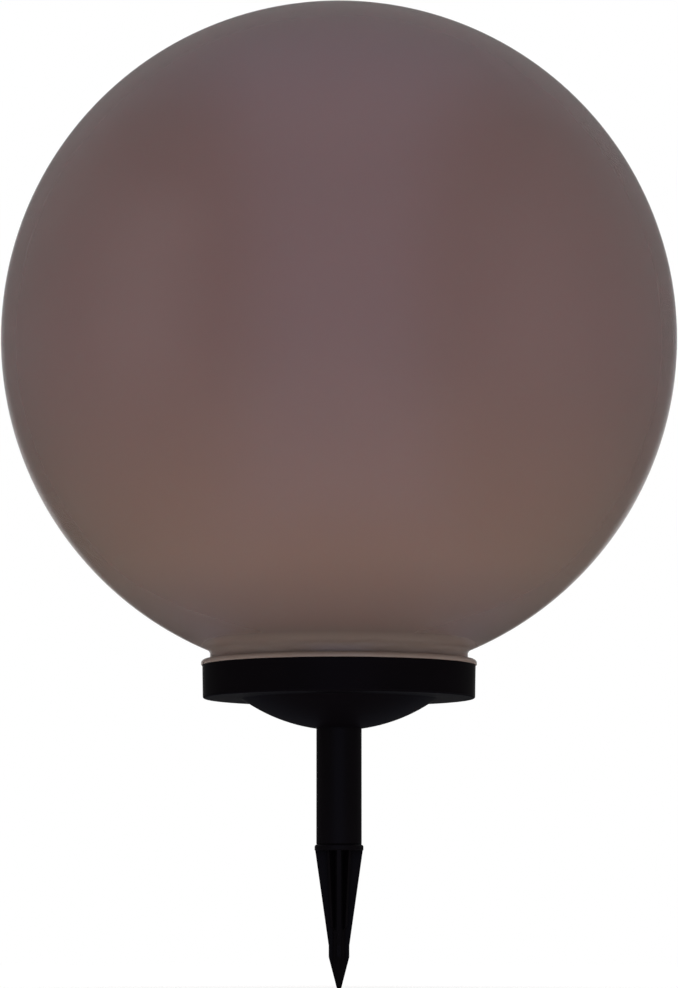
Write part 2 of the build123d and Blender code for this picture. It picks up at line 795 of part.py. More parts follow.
def cell_rows():
    """The y of each cell and which way its nub points along X."""
    return [(holder_y - AA_PITCH / 2, 1), (holder_y + AA_PITCH / 2, -1)]


def make_batteries():
    """Two penlight cells, nub to tail."""
    side = band(0, CELL_AA_RADIUS, -cell_half_x, cell_half_x - NUB_HEIGHT)
    can = chamfer(side.vertices().sort_by(Axis.X)[-2:], NUB_HEIGHT / 3)
    cell = turned(can) + post(0, 0, NUB_RADIUS, cell_half_x - NUB_HEIGHT, cell_half_x)
    shift = CONTACT_SPRING / 2
    return [Pos(way * shift, y, cell_axis_z) * Rot(Y=90 * way) * cell for y, way in cell_rows()]


def contact_plate(end, y):
    """Flat contact against one end wall of the holder, with a solder tail over the wall's top."""
    plate_x = end * (holder_in_half_x - CONTACT_SHEET / 2)
    height = floor_top_z + HOLDER_HEIGHT + CONTACT_TAIL - holder_floor_z
    return block(plate_x, y, holder_floor_z, CONTACT_SHEET, 2 * NUB_RADIUS, height)


def contact_leaf(end, y):
    """Bowed leaf that presses on a cell's tail."""
    plate_x = end * (holder_in_half_x - CONTACT_SHEET / 2)
    bow_x = plate_x - end * CONTACT_SPRING
    low, high = cell_axis_z - CELL_AA_RADIUS / 2, cell_axis_z + CELL_AA_RADIUS / 2
    outer = ThreePointArc((plate_x, low), (bow_x - end * CONTACT_SHEET / 2, cell_axis_z), (plate_x, high))
    inner = ThreePointArc((plate_x, high), (bow_x + end * CONTACT_SHEET / 2, cell_axis_z), (plate_x, low))
    leaf = extrude(Plane.XZ * outline(outer, inner), NUB_RADIUS, both=True)
    return Pos(0, y, 0) * leaf


def make_battery_contacts():
    """A flat contact for each nub and a leaf for each tail."""
    contacts = []
    for y, way in cell_rows():
        contacts.append(contact_plate(way, y))
        contacts.append(contact_plate(-way, y) + contact_leaf(-way, y))
    return contacts


def make_holder_screws():
    length = HOLDER_WALL + BOARD_BITE
    return [screw(BOARD_SCREW, x, holder_y, holder_floor_z, length) for x in holder_screw_places()]


# ---- Switch


def make_switch_body():
    """Slide switch on two bosses, its plate and case in one."""
    length = SWITCH_LENGTH + 2 * SWITCH_EAR
    plate = block(0, switch_y, switch_z, length, SWITCH_WIDTH, SWITCH_PLATE)
    case = block(0, switch_y, switch_z, SWITCH_LENGTH, SWITCH_WIDTH, SWITCH_HEIGHT)
    way = block(
        0,
        switch_y,
        switch_z,
        KNOB_STEM + SWITCH_TRAVEL + 2 * MOULD_GAP,
        KNOB_STEM + 2 * MOULD_GAP,
        STEM_REACH + MOULD_GAP,
    )
    holes = [
        post(x, switch_y, SWITCH_SCREW[0] + SCREW_FIT, switch_z, switch_z + SWITCH_PLATE)
        for x in switch_screw_places()
    ]
    return plate + case - way - fused(holes)


def make_switch_knob():
    """Grip in the housing's slot and the stem that works the switch."""
    x = -SWITCH_TRAVEL / 2
    low_z = floor_z + KNOB_RECESS
    grip = block(x, switch_y, low_z, KNOB_LENGTH, KNOB_WIDTH, floor_top_z - low_z)
    groove = KNOB_LENGTH / 5
    grooves = [
        block(x + groove * i, switch_y, low_z, groove / 2, KNOB_WIDTH, KNOB_RECESS) for i in (-1, 0, 1)
    ]
    stem_top = switch_z + STEM_REACH
    stem = block(x, switch_y, floor_top_z, KNOB_STEM, KNOB_STEM, stem_top - floor_top_z)
    return grip + stem - fused(grooves)


def make_switch_screws():
    seat_z = switch_z + SWITCH_PLATE
    length = SWITCH_PLATE + switch_bite
    return [screw(SWITCH_SCREW, x, switch_y, seat_z, length) for x in switch_screw_places()]


# ---- Leads inside the drum


def lead(*points):
    """A flat twin lead: straight runs joined by arcs, its broad side square to the bends."""
    route = FilletPolyline(*points, radius=LEAD_BEND)
    start = route % 0
    turn = start.cross(Vector(*points[-1]) - Vector(*points[0]))
    section = Plane(route @ 0, x_dir=turn, z_dir=start) * Rectangle(LEAD_WIDTH, LEAD_THICKNESS)
    made = sweep(section, route)
    share = made.volume / (section.area * route.length)
    print("lead of", round(route.length, 1), "mm, volume over section x length", round(share, 4))
    return made


def connector_top(name):
    """The middle of a connector's top."""
    return *connector_places()[name], control_top_z + CONNECTOR[2]


def make_battery_leads():
    """A lead from each solder tail at one end of the holder to the control board."""
    x = holder_in_half_x - CONTACT_SHEET / 2
    tail_z = floor_top_z + HOLDER_HEIGHT + CONTACT_TAIL
    end_x, end_y, end_z = connector_top("battery")
    high_z = max(tail_z, end_z) + LEAD_RISE
    leads = []
    for side, (y, _) in zip((-1, 1), cell_rows()):
        stop_x = end_x + side * LEAD_WIDTH / 2
        leads.append(lead((x, y, tail_z), (x, y, high_z), (stop_x, end_y, high_z), (stop_x, end_y, end_z)))
    return leads


def make_panel_leads():
    """From the back of the solar panel, through the tray, to the control board."""
    x, y = panel_lead_place()
    end_x, end_y, end_z = connector_top("panel")
    high_z = tray_z - LEAD_RISE
    low_z = end_z + LEAD_RISE
    return lead((x, y, tray_floor_z), (x, y, high_z), (end_x, end_y, low_z), (end_x, end_y, end_z))


def make_ring_board_leads():
    """From the ring board to the control board."""
    x = ring_board_in_r + LEAD_WIDTH
    end_x, end_y, end_z = connector_top("ring_board")
    high_z = ring_board_z - LEAD_RISE
    low_z = end_z + LEAD_RISE
    return lead((x, end_y, ring_board_z), (x, end_y, high_z), (end_x, end_y, low_z), (end_x, end_y, end_z))


def make_switch_leads():
    """From the switch to the control board."""
    end_x, end_y, end_z = connector_top("switch")
    low_z = switch_z + SWITCH_HEIGHT
    high_z = end_z + LEAD_RISE
    return lead((0, switch_y, low_z), (0, switch_y, high_z), (end_x, end_y, high_z), (end_x, end_y, end_z))


NODES = {
    "ground_spike": make_spike,
    "pole_tube": make_pole,
    "base_housing": make_base_housing,
    "globe": make_globe,
    "globe_gasket": make_gasket,
    "light_drum": make_light_drum,
    "drum_seal": make_drum_seal,
    "drum_screws": make_drum_screws,
    "solar_panel": make_solar_panel,
    "solar_cells": make_solar_cells,
    "ring_board": make_ring_board,
    "leds": make_leds,
    "ring_board_screws": make_ring_board_screws,
    "control_board": make_control_board,
    "board_parts": make_board_parts,
    "board_screws": make_board_screws,
    "battery_holder": make_battery_holder,
    "batteries": make_batteries,
    "battery_contacts": make_battery_contacts,
    "holder_screws": make_holder_screws,
    "switch_body": make_switch_body,
    "switch_knob": make_switch_knob,
    "switch_screws": make_switch_screws,
    "battery_leads": make_battery_leads,
    "panel_leads": make_panel_leads,
    "ring_board_leads": make_ring_board_leads,
    "switch_leads": make_switch_leads,
}

os.makedirs("parts", exist_ok=True)
for name, make in NODES.items():
    shape = make()
    if isinstance(shape, list):
        shape = Compound(children=[piece for made in shape for piece in made.solids()])
    export_step(shape, f"parts/{name}.step")
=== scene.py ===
from math import atan2, hypot, pi, radians, sqrt

import bmesh
import bpy
from mathutils import Matrix, Vector


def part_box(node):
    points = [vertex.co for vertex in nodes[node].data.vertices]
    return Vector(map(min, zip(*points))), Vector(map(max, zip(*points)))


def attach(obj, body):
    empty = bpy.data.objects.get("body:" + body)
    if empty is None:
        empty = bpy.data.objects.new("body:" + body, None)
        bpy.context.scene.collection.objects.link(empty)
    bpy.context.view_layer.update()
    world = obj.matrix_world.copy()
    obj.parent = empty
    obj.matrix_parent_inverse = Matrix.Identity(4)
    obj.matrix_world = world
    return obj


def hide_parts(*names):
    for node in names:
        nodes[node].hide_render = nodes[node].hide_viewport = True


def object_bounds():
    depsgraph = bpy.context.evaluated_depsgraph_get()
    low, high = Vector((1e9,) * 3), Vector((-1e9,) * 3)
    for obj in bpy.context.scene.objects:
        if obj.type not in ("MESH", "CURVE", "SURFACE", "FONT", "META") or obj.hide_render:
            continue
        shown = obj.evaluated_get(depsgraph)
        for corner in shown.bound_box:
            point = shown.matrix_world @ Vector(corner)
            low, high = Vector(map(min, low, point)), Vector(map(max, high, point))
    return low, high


# Garden globe light, in metres, in the part's own frame: the axis is Z and the ground line is at zero. The globe is
# modelled here as one smooth shell. The other pieces are the part's own solids, and get their materials here.

MM = 0.001

# ---- Camera: a long lens, low down in front of the light, tilted up at the globe
CAMERA_DISTANCE = 3.3
CAMERA_HEIGHT = -0.080
CAMERA_PITCH = radians(5.88)
CAMERA_LENS = 162.6  # mm, on the default 36 mm sensor, for a picture of 678 x 988

# ---- Studio
WHITE = "#ffffff"
PAPER = "#f4f4f4"
FLOOR_HALF = 6.0  # half the table's width, in metres
FLOOR_LIFT = 0.55  # the table's own light, as the eye sees it
FLOOR_GLOW = 1.0  # and as it lights the globe from below
ROOM_LIGHT = 0.5  # how bright the room is for what it lights
BACKDROP = 1.0  # the white that is seen behind the light, and through it
DIM_ROOM = 0.06  # what a reflection shows of the rest of the room
CEILING = 0.2  # and how much brighter its ceiling is
CEILING_EDGE = (-0.1, 0.5)  # where it fades in from below, as a sine
BACKDROP_EDGE = (0.93, 1.0)  # where the backdrop fades in, as the cosine of the angle from its middle
BAND = 0.56  # a tall bluish band over, in front of and under the light, as a reflection shows it
BAND_COLOUR = "#bccbff"
BAND_HALF = (0.22, 0.66)  # where it fades out to each side, as a sine
BAND_BACK = (-0.1, 0.9)  # where it fades out to the back, as a sine
BAND_FOOT = (-1.0, -0.7)  # where it fades in from below, as a sine
LAMP_AIM = (0, 0, 0.3)  # what the softboxes face
SOFTBOXES = [  # each one's name, place and size in metres, and power in watts
    ("overhead", (0, -0.7, 2.4), (2.4, 2.0), 8),
    ("left", (-2.0, -0.9, 0.7), (1.2, 2.2), 4),
    ("right", (2.0, -0.9, 0.7), (1.2, 2.2), 4),
]

# ---- Globe, as in the part
GLOBE_WALL = 2.5 * MM
NECK_RADIUS = 95.5 * MM
NECK_ROUND = 2.5 * MM
FLANGE_HEIGHT = 4.1 * MM
FLANGE_ROUND = 2.6 * MM
FLANGE_EDGE = 0.8 * MM
FLANGE_RADIUS = 102.2 * MM
LUG_COUNT = 3
LUG_ARC = radians(20)
LUG_REACH = 2.8 * MM
LUG_HEIGHT = 2.5 * MM
SPIGOT_TAIL = 1.0 * MM

# ---- Mesh fineness
TURN_STEPS = 180  # two degrees each, so that a lug is a whole number of faces
SPHERE_STEPS = 96
ROUND_STEPS = 5
SHARP_ANGLE = radians(40)
SAME_POINT = 0.001 * MM  # points nearer than this are one

# ---- Finishes
UNDERLIGHT_EDGE = (0.19, 0.37)  # the heights in metres over which the globe's tint goes from warm, painted light of the table shining up through it, to plain
NECK_SHADE_EDGE = (0.15, 0.205)  # over which it goes from a darker tint near the neck, painted shade of the drum on the globe's inside, to the plain tint
HAZE_EDGE = (0.143, 0.15)  # and over which the neck's haze ends
NECK_CLEAR, GLOBE_CLEAR = 0.6, 0.8  # how much light passes through the neck, and through the globe
SLEEVE_END = (23.6 * MM, 23.8 * MM)  # how far from a cell's middle its sleeve stops
RELIEF = 0.3  # how strongly a fine relief shows
GLOSS_DRIFT = 0.05  # how far a moulded body's roughness strays to either side

# Sockets of the colour Mix node, which has several of each name
MIX_FACTOR, MIX_A, MIX_B, MIX_COLOUR = 0, 6, 7, 2


# ---- Helpers


def linear(colour):
    """An sRGB hex colour as linear RGBA."""
    parts = [int(colour[i : i + 2], 16) / 255 for i in (1, 3, 5)]
    return (*[c / 12.92 if c <= 0.04045 else ((c + 0.055) / 1.055) ** 2.4 for c in parts], 1.0)


def add(tree, kind, inputs=None, **settings):
    """A node with its settings; each input is given a value, or linked to another node's output."""
    made = tree.nodes.new("ShaderNode" + kind)
    for name, value in settings.items():
        setattr(made, name, value)
    for name, value in (inputs or {}).items():
        if isinstance(value, bpy.types.NodeSocket):
            tree.links.new(value, made.inputs[name])
        else:
            made.inputs[name].default_value = value
    return made


def new_material(name, **sockets):
    """A material on one Principled shader with its plain values, and the Object coordinates for its patterns."""
    made = bpy.data.materials.new(name)
    made.use_nodes = True
    tree = made.node_tree
    shader = tree.nodes["Principled BSDF"]
    for socket, value in sockets.items():
        shader.inputs[socket.replace("_", " ")].default_value = value
    return made, tree, shader, add(tree, "TexCoord").outputs["Object"]


def per_metre(size):
    """A pattern's scale, from the size of one of its marks in millimetres."""
    return 1 / (size * MM)


def span(value, edges, ends):
    """The inputs of a Map Range node that takes a value from one pair of limits to another."""
    return {"Value": value, "From Min": edges[0], "From Max": edges[1], "To Min": ends[0], "To Max": ends[1]}


def dress(tree, shader, drift, tones, roughness, height, depth):
    """Gives a shader a tone and a roughness that drift between two values, and a relief of a depth in millimetres."""
    tone = add(tree, "Mix", {MIX_FACTOR: drift, MIX_A: linear(tones[0]), MIX_B: linear(tones[1])}, data_type="RGBA")
    gloss = add(tree, "MapRange", span(drift, (0.0, 1.0), roughness))
    relief = add(tree, "Bump", {"Strength": RELIEF, "Distance": depth * MM, "Height": height})
    tree.links.new(tone.outputs[MIX_COLOUR], shader.inputs["Base Color"])
    tree.links.new(gloss.outputs[0], shader.inputs["Roughness"])
    tree.links.new(relief.outputs[0], shader.inputs["Normal"])


# ---- Materials


def smoked_acrylic():
    """Blow-moulded smoked acrylic, satin on both sides: it shows a soft grey-brown haze, what is behind it only
    faintly and blurred, and a darker tint where the eye looks along the wall. The blown wall is a little uneven, which
    clouds its tint. Its tint is painted warmer below, for the table's light shining up through the lower half, and
    painted darker towards the neck, for the drum's shade on the globe's inside. It is hazier in the neck."""
    made, tree, shader, place = new_material(
        "smoked_acrylic",
        Roughness=0.25,
        IOR=1.49,
        Subsurface_Weight=1.0,
        Subsurface_Radius=(1.0, 1.0, 1.0),
        Subsurface_Scale=4 * MM,
    )
    cloud = add(tree, "TexNoise", {"Vector": place, "Scale": per_metre(120), "Detail": 2.0})
    tint = add(
        tree,
        "Mix",
        {MIX_FACTOR: cloud.outputs[0], MIX_A: linear("#b5a5a0"), MIX_B: linear("#bcaaa5")},
        data_type="RGBA",
    )
    height = add(tree, "SeparateXYZ", {0: place}).outputs["Z"]
    # Painted light: the tint is warmer below, for the table's light shining up through the lower half
    low = add(tree, "MapRange", span(height, UNDERLIGHT_EDGE, (1.0, 0.0)), interpolation_type="SMOOTHSTEP")
    warm = add(
        tree,
        "Mix",
        {MIX_FACTOR: low.outputs[0], MIX_A: tint.outputs[MIX_COLOUR], MIX_B: linear("#bca697")},
        data_type="RGBA",
    )
    # Painted shade: the tint darkens towards the neck, for the drum's shade on the globe's lower inside
    neck_shade = add(tree, "MapRange", span(height, NECK_SHADE_EDGE, (1.0, 0.0)), interpolation_type="SMOOTHSTEP")
    body = add(
        tree,
        "Mix",
        {MIX_FACTOR: neck_shade.outputs[0], MIX_A: warm.outputs[MIX_COLOUR], MIX_B: linear("#a8948a")},
        data_type="RGBA",
    )
    clear = add(tree, "MapRange", span(height, HAZE_EDGE, (NECK_CLEAR, GLOBE_CLEAR)))
    tree.links.new(clear.outputs[0], shader.inputs["Transmission Weight"])
    tree.links.new(body.outputs[MIX_COLOUR], shader.inputs["Base Color"])
    grain = add(tree, "TexNoise", {"Vector": place, "Scale": per_metre(1.5), "Detail": 2.0})
    bump = add(tree, "Bump", {"Strength": 0.08, "Distance": 0.05 * MM, "Height": grain.outputs[0]})
    tree.links.new(bump.outputs[0], shader.inputs["Normal"])
    smoke = add(tree, "VolumeAbsorption", {"Color": linear("#c8267b"), "Density": 300.0})
    tree.links.new(smoke.outputs[0], tree.nodes["Material Output"].inputs["Volume"])
    return made


def moulded(name, tones, roughness, grain, depth, **sockets):
    """A moulded body: its tone and gloss drift a little over 35 mm, as the melt cooled, and it has the fine even grain
    of its mould, of a size and depth in millimetres."""
    made, tree, shader, place = new_material(name, **sockets)
    drift = add(tree, "TexNoise", {"Vector": place, "Scale": per_metre(35), "Detail": 3.0})
    marks = add(tree, "TexNoise", {"Vector": place, "Scale": per_metre(grain), "Detail": 2.0})
    limits = (roughness - GLOSS_DRIFT, roughness + GLOSS_DRIFT)
    dress(tree, shader, drift.outputs[0], tones, limits, marks.outputs[0], depth)
    return made


def plated(name, tones, roughness, crystal):
    """Plated steel: a bright metal whose plating grew in crystals of a size in millimetres, each with its own tone and
    gloss. The real ones are finer; they are drawn coarser, so that they show."""
    made, tree, shader, place = new_material(name, Metallic=1.0)
    crystals = add(tree, "TexVoronoi", {"Vector": place, "Scale": per_metre(crystal)})
    tone = add(tree, "SeparateColor", {0: crystals.outputs["Color"]}).outputs[0]
    dress(tree, shader, tone, tones, roughness, crystals.outputs["Distance"], 0.01)
    return made


def courses(name, tones, line, size, width, roughness, depth, **sockets):
    """A flat ware ruled with lines of another tone, such as tracks, fingers or threads; size is the distance from line
    to line in millimetres, and width how much longer than high a field is."""
    made, tree, shader, place = new_material(name, **sockets)
    fields = add(
        tree,
        "TexBrick",
        {
            "Vector": place,
            "Scale": per_metre(size),
            "Brick Width": width,
            "Row Height": 1.0,
            "Mortar Size": line,
            "Color1": linear("#000000"),
            "Color2": linear("#404040"),
            "Mortar": linear(WHITE),
        },
    )
    drift = add(tree, "SeparateColor", {0: fields.outputs["Color"]}).outputs[0]
    dress(tree, shader, drift, tones, roughness, fields.outputs["Fac"], depth)
    return made


def polycrystalline_silicon():
    """Sliced and etched polycrystalline silicon under clear resin: blue crystals of about 6 mm, each with its own
    tone, and the fine printed silver fingers over them. The fingers are drawn 0.15 mm wide, so that they show."""
    made, tree, shader, place = new_material("polycrystalline_silicon", IOR=1.5, Coat_Weight=1.0, Coat_Roughness=0.08)
    crystals = add(tree, "TexVoronoi", {"Vector": place, "Scale": per_metre(6)})
    tone = add(tree, "SeparateColor", {0: crystals.outputs["Color"]}).outputs[0]
    dress(tree, shader, tone, ("#0c1838", "#1d3470"), (0.2, 0.35), tone, 0.02)
    fingers = add(
        tree,
        "TexBrick",
        {"Vector": place, "Scale": per_metre(2.5), "Brick Width": 100.0, "Row Height": 1.0, "Mortar Size": 0.03},
    )
    blue = shader.inputs["Base Color"].links[0].from_socket
    printed = add(
        tree,
        "Mix",
        {MIX_FACTOR: fingers.outputs["Fac"], MIX_A: blue, MIX_B: linear("#9a9ca0")},
        data_type="RGBA",
    )
    tree.links.new(printed.outputs[MIX_COLOUR], shader.inputs["Base Color"])
    return made


def sleeved_cell():
    """A penlight cell in its printed shrink sleeve: green film with a soft gloss and faint creases, and the bright
    nickel-plated can at both ends, where the film stops."""
    made, tree, shader, place = new_material("printed_shrink_sleeve", IOR=1.5)
    creases = add(tree, "TexNoise", {"Vector": place, "Scale": per_metre(9), "Detail": 3.0})
    dress(tree, shader, creases.outputs[0], ("#2c5a33", "#346b3c"), (0.22, 0.34), creases.outputs[0], 0.05)
    along = add(tree, "Math", {0: add(tree, "SeparateXYZ", {0: place}).outputs["X"]}, operation="ABSOLUTE")
    end = add(tree, "MapRange", span(along.outputs[0], SLEEVE_END, (0.0, 1.0)))
    film = shader.inputs["Base Color"].links[0].from_socket
    can = add(tree, "Mix", {MIX_FACTOR: end.outputs[0], MIX_A: film, MIX_B: linear("#b9b6ae")}, data_type="RGBA")
    tree.links.new(can.outputs[MIX_COLOUR], shader.inputs["Base Color"])
    tree.links.new(end.outputs[0], shader.inputs["Metallic"])
    return made


# ---- Globe


def arc(bm, start, centre_z, angle, steps):
    """Sweeps a point of the outline about the sphere's centre, in the XZ plane, and returns the far end."""
    swept = bmesh.ops.spin(
        bm, geom=[start], cent=(0, 0, centre_z), axis=(0, 1, 0), angle=angle, steps=steps, use_duplicate=False
    )
    return next(g for g in swept["geom_last"] if isinstance(g, bmesh.types.BMVert))


def run(bm, start, *points):
    """Draws the outline on through points, each (radius, height), and returns the last."""
    for radius, height in points:
        drawn = bmesh.ops.extrude_vert_indiv(bm, verts=[start])
        start = drawn["verts"][0]
        start.co = (radius, 0, height)
    return start


def turned(bm):
    """Sweeps the outline about the axis and closes it, with its faces pointing out."""
    bmesh.ops.spin(
        bm,
        geom=bm.verts[:] + bm.edges[:],
        cent=(0, 0, 0),
        axis=(0, 0, 1),
        angle=2 * pi,
        steps=TURN_STEPS,
        use_merge=True,
    )
    bmesh.ops.remove_doubles(bm, verts=bm.verts[:], dist=SAME_POINT)
    bmesh.ops.recalc_face_normals(bm, faces=bm.faces[:])


def corner(bm, radius, height, size):
    """Rounds the ring-shaped edge at a radius and height."""
    near = 0.01 * MM
    ring = [
        e
        for e in bm.edges
        if all(abs(hypot(v.co.x, v.co.y) - radius) < near and abs(v.co.z - height) < near for v in e.verts)
    ]
    bmesh.ops.bevel(bm, geom=ring, offset=size, segments=ROUND_STEPS, profile=0.5, affect="EDGES", material=-1)


def raise_lugs(bm, low_z, high_z):
    """Draws the bayonet's lugs out of the spigot's wall."""
    half = LUG_ARC / 2
    pitch = 2 * pi / LUG_COUNT
    near = 0.1 * MM

    def is_lug(face):
        middle = face.calc_center_median()
        turn = atan2(middle.y, middle.x) % pitch
        on_wall = abs(hypot(middle.x, middle.y) - NECK_RADIUS) < near
        return on_wall and low_z < middle.z < high_z and min(turn, pitch - turn) < half

    faces = [f for f in bm.faces if is_lug(f)]
    drawn = bmesh.ops.extrude_face_region(bm, geom=faces)["geom"]
    bmesh.ops.delete(bm, geom=faces, context="FACES")
    tops = [g for g in drawn if isinstance(g, bmesh.types.BMVert)]
    reach = (NECK_RADIUS + LUG_REACH) / NECK_RADIUS
    bmesh.ops.scale(bm, vec=(reach, reach, 1), verts=tops)


def globe_shell():
    """The shell with its neck, shouldered flange and spigot, turned from one outline, and its three lugs."""
    low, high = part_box("globe")
    radius = min(high.x, high.y, -low.x, -low.y)
    inner = radius - GLOBE_WALL
    centre = high.z - radius
    neck_in = NECK_RADIUS - GLOBE_WALL
    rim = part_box("base_housing")[1].z
    flange_top = rim + FLANGE_HEIGHT
    neck_top = centre - sqrt(radius**2 - NECK_RADIUS**2)
    inner_top = centre - sqrt(inner**2 - neck_in**2)
    lug_low = low.z + SPIGOT_TAIL
    bm = bmesh.new()
    crown = bmesh.ops.create_vert(bm, co=(0, 0, centre + inner))["vert"][0]
    inner_end = arc(bm, crown, centre, atan2(neck_in, inner_top - centre), SPHERE_STEPS)
    outer_end = run(
        bm,
        inner_end,
        (neck_in, low.z),
        (NECK_RADIUS, low.z),
        (NECK_RADIUS, lug_low),
        (NECK_RADIUS, lug_low + LUG_HEIGHT),
        (NECK_RADIUS, rim),
        (FLANGE_RADIUS, rim),
        (FLANGE_RADIUS, flange_top),
        (NECK_RADIUS, flange_top),
        (NECK_RADIUS, neck_top),
    )
    arc(bm, outer_end, centre, -atan2(NECK_RADIUS, neck_top - centre), SPHERE_STEPS)
    turned(bm)
    corner(bm, NECK_RADIUS, neck_top, NECK_ROUND)
    corner(bm, FLANGE_RADIUS, flange_top, FLANGE_ROUND)
    corner(bm, FLANGE_RADIUS, rim, FLANGE_EDGE)
    raise_lugs(bm, lug_low, lug_low + LUG_HEIGHT)
    return finished("globe_shell", bm)


def finished(name, bm):
    """The mesh as an object at the origin, smooth but for its sharp edges."""
    mesh = bpy.data.meshes.new(name)
    bm.to_mesh(mesh)
    bm.free()
    made = bpy.data.objects.new(name, mesh)
    bpy.context.scene.collection.objects.link(made)
    mesh.shade_smooth()
    mesh.set_sharp_from_angle(angle=SHARP_ANGLE)
    return made


# ---- Studio


def light_band(tree, direction):
    """How bright the band of light is in a direction from the globe."""
    axes = add(tree, "SeparateXYZ", {0: direction})
    side = add(tree, "Math", {0: axes.outputs["X"]}, operation="ABSOLUTE")
    across = add(tree, "MapRange", span(side.outputs[0], BAND_HALF, (BAND, 0.0)), interpolation_type="SMOOTHSTEP")
    ahead = add(tree, "MapRange", span(axes.outputs["Y"], BAND_BACK, (1.0, 0.0)), interpolation_type="SMOOTHSTEP")
    above = add(tree, "MapRange", span(axes.outputs["Z"], BAND_FOOT, (0.0, 1.0)), interpolation_type="SMOOTHSTEP")
    level = add(tree, "Math", {0: across.outputs[0], 1: ahead.outputs[0]}, operation="MULTIPLY")
    return add(tree, "Math", {0: level.outputs[0], 1: above.outputs[0]}, operation="MULTIPLY").outputs[0]


def studio_world():
    """A white backdrop for what looks at it directly or through the globe, soft light from the whole room, and for
    gloss the backdrop behind the light and the band, in a room that is dim all round."""
    world = bpy.data.worlds.new("studio")
    world.use_nodes = True
    tree = world.node_tree
    tree.nodes.clear()
    path = add(tree, "LightPath")
    seen = add(
        tree,
        "Math",
        {0: path.outputs["Is Camera Ray"], 1: path.outputs["Is Transmission Ray"]},
        operation="MAXIMUM",
    )
    direction = add(tree, "TexCoord").outputs["Generated"]
    axes = add(tree, "SeparateXYZ", {0: direction}).outputs
    over = add(tree, "MapRange", span(axes["Z"], CEILING_EDGE, (DIM_ROOM, DIM_ROOM + CEILING)))
    behind = add(tree, "MapRange", span(axes["Y"], BACKDROP_EDGE, (0.0, BACKDROP)), interpolation_type="SMOOTHSTEP")
    brightness = add(tree, "Math", {0: over.outputs[0], 1: behind.outputs[0]}, operation="ADD")
    white = add(tree, "Background", {"Color": linear(WHITE), "Strength": brightness.outputs[0]})
    band = add(tree, "Background", {"Color": linear(BAND_COLOUR), "Strength": light_band(tree, direction)})
    gloss = add(tree, "AddShader", {0: white.outputs[0], 1: band.outputs[0]})
    room = add(tree, "Background", {"Color": linear(WHITE), "Strength": ROOM_LIGHT})
    lit = add(tree, "MixShader", {0: path.outputs["Is Glossy Ray"], 1: room.outputs[0], 2: gloss.outputs[0]})
    backdrop = add(tree, "Background", {"Color": linear(WHITE), "Strength": BACKDROP})
    whole = add(tree, "MixShader", {0: seen.outputs[0], 1: lit.outputs[0], 2: backdrop.outputs[0]})
    add(tree, "OutputWorld", {"Surface": whole.outputs[0]})
    bpy.context.scene.world = world


def softbox(name, place, size, power):
    """A large area lamp that faces the globe and isn't seen itself."""
    data = bpy.data.lights.new(name, "AREA")
    data.shape = "RECTANGLE"
    data.size, data.size_y = size
    data.energy = power
    lamp = bpy.data.objects.new(name, data)
    lamp.visible_camera = False
    lamp.visible_glossy = False
    bpy.context.scene.collection.objects.link(lamp)
    lamp.location = place
    lamp.rotation_euler = (Vector(LAMP_AIM) - Vector(place)).to_track_quat("-Z", "Y").to_euler()


def studio_floor(height, centre):
    """A white shooting table, lit a little from inside: white to the eye and through the globe, and it keeps the
    light's shadow. Gloss shows it dim, with the band on it. It is clear from below, so that the underside can be
    looked at."""
    bm = bmesh.new()
    bmesh.ops.create_grid(bm, x_segments=1, y_segments=1, size=FLOOR_HALF, matrix=Matrix.Translation((0, 0, height)))
    floor = finished("floor", bm)
    made = bpy.data.materials.new("white_shooting_table")
    made.use_nodes = True
    tree = made.node_tree
    tree.nodes.clear()
    path = add(tree, "LightPath")
    paper = add(tree, "BsdfDiffuse", {"Color": linear(PAPER)})
    glow = add(tree, "MapRange", span(path.outputs["Is Camera Ray"], (0.0, 1.0), (FLOOR_GLOW, FLOOR_LIFT)))
    lift = add(tree, "Emission", {"Color": linear(WHITE), "Strength": glow.outputs[0]})
    shown = add(tree, "AddShader", {0: paper.outputs[0], 1: lift.outputs[0]})
    white = add(tree, "Emission", {"Color": linear(WHITE), "Strength": BACKDROP})
    away = add(tree, "VectorMath", {0: add(tree, "TexCoord").outputs["Object"], 1: centre}, operation="SUBTRACT")
    direction = add(tree, "VectorMath", {0: away.outputs[0]}, operation="NORMALIZE")
    band = add(tree, "Emission", {"Color": linear(BAND_COLOUR), "Strength": light_band(tree, direction.outputs[0])})
    dim = add(tree, "Emission", {"Color": linear(WHITE), "Strength": DIM_ROOM})
    gloss = add(tree, "AddShader", {0: dim.outputs[0], 1: band.outputs[0]})
    rays = path.outputs
    through = add(tree, "MixShader", {0: rays["Is Transmission Ray"], 1: shown.outputs[0], 2: white.outputs[0]})
    sheet = add(tree, "MixShader", {0: rays["Is Glossy Ray"], 1: through.outputs[0], 2: gloss.outputs[0]})
    under = add(tree, "NewGeometry").outputs["Backfacing"]
    clear = add(tree, "BsdfTransparent")
    whole = add(tree, "MixShader", {0: under, 1: sheet.outputs[0], 2: clear.outputs[0]})
    add(tree, "OutputMaterial", {"Surface": whole.outputs[0]})
    floor.data.materials.append(made)


def camera():
    """Where the photograph was taken from."""
    data = bpy.data.cameras.new("camera")
    data.lens = CAMERA_LENS
    made = bpy.data.objects.new("camera", data)
    made.location = (0, -CAMERA_DISTANCE, CAMERA_HEIGHT)
    made.rotation_euler = (pi / 2 + CAMERA_PITCH, 0, 0)
    bpy.context.scene.collection.objects.link(made)
    bpy.context.scene.camera = made


# ---- The scene


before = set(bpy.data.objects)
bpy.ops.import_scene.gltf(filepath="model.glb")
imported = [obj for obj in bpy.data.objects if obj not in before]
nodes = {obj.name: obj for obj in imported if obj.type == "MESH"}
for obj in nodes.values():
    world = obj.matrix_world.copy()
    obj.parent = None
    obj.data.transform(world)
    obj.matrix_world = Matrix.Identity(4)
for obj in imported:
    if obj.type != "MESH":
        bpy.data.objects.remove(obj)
cad_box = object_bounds()

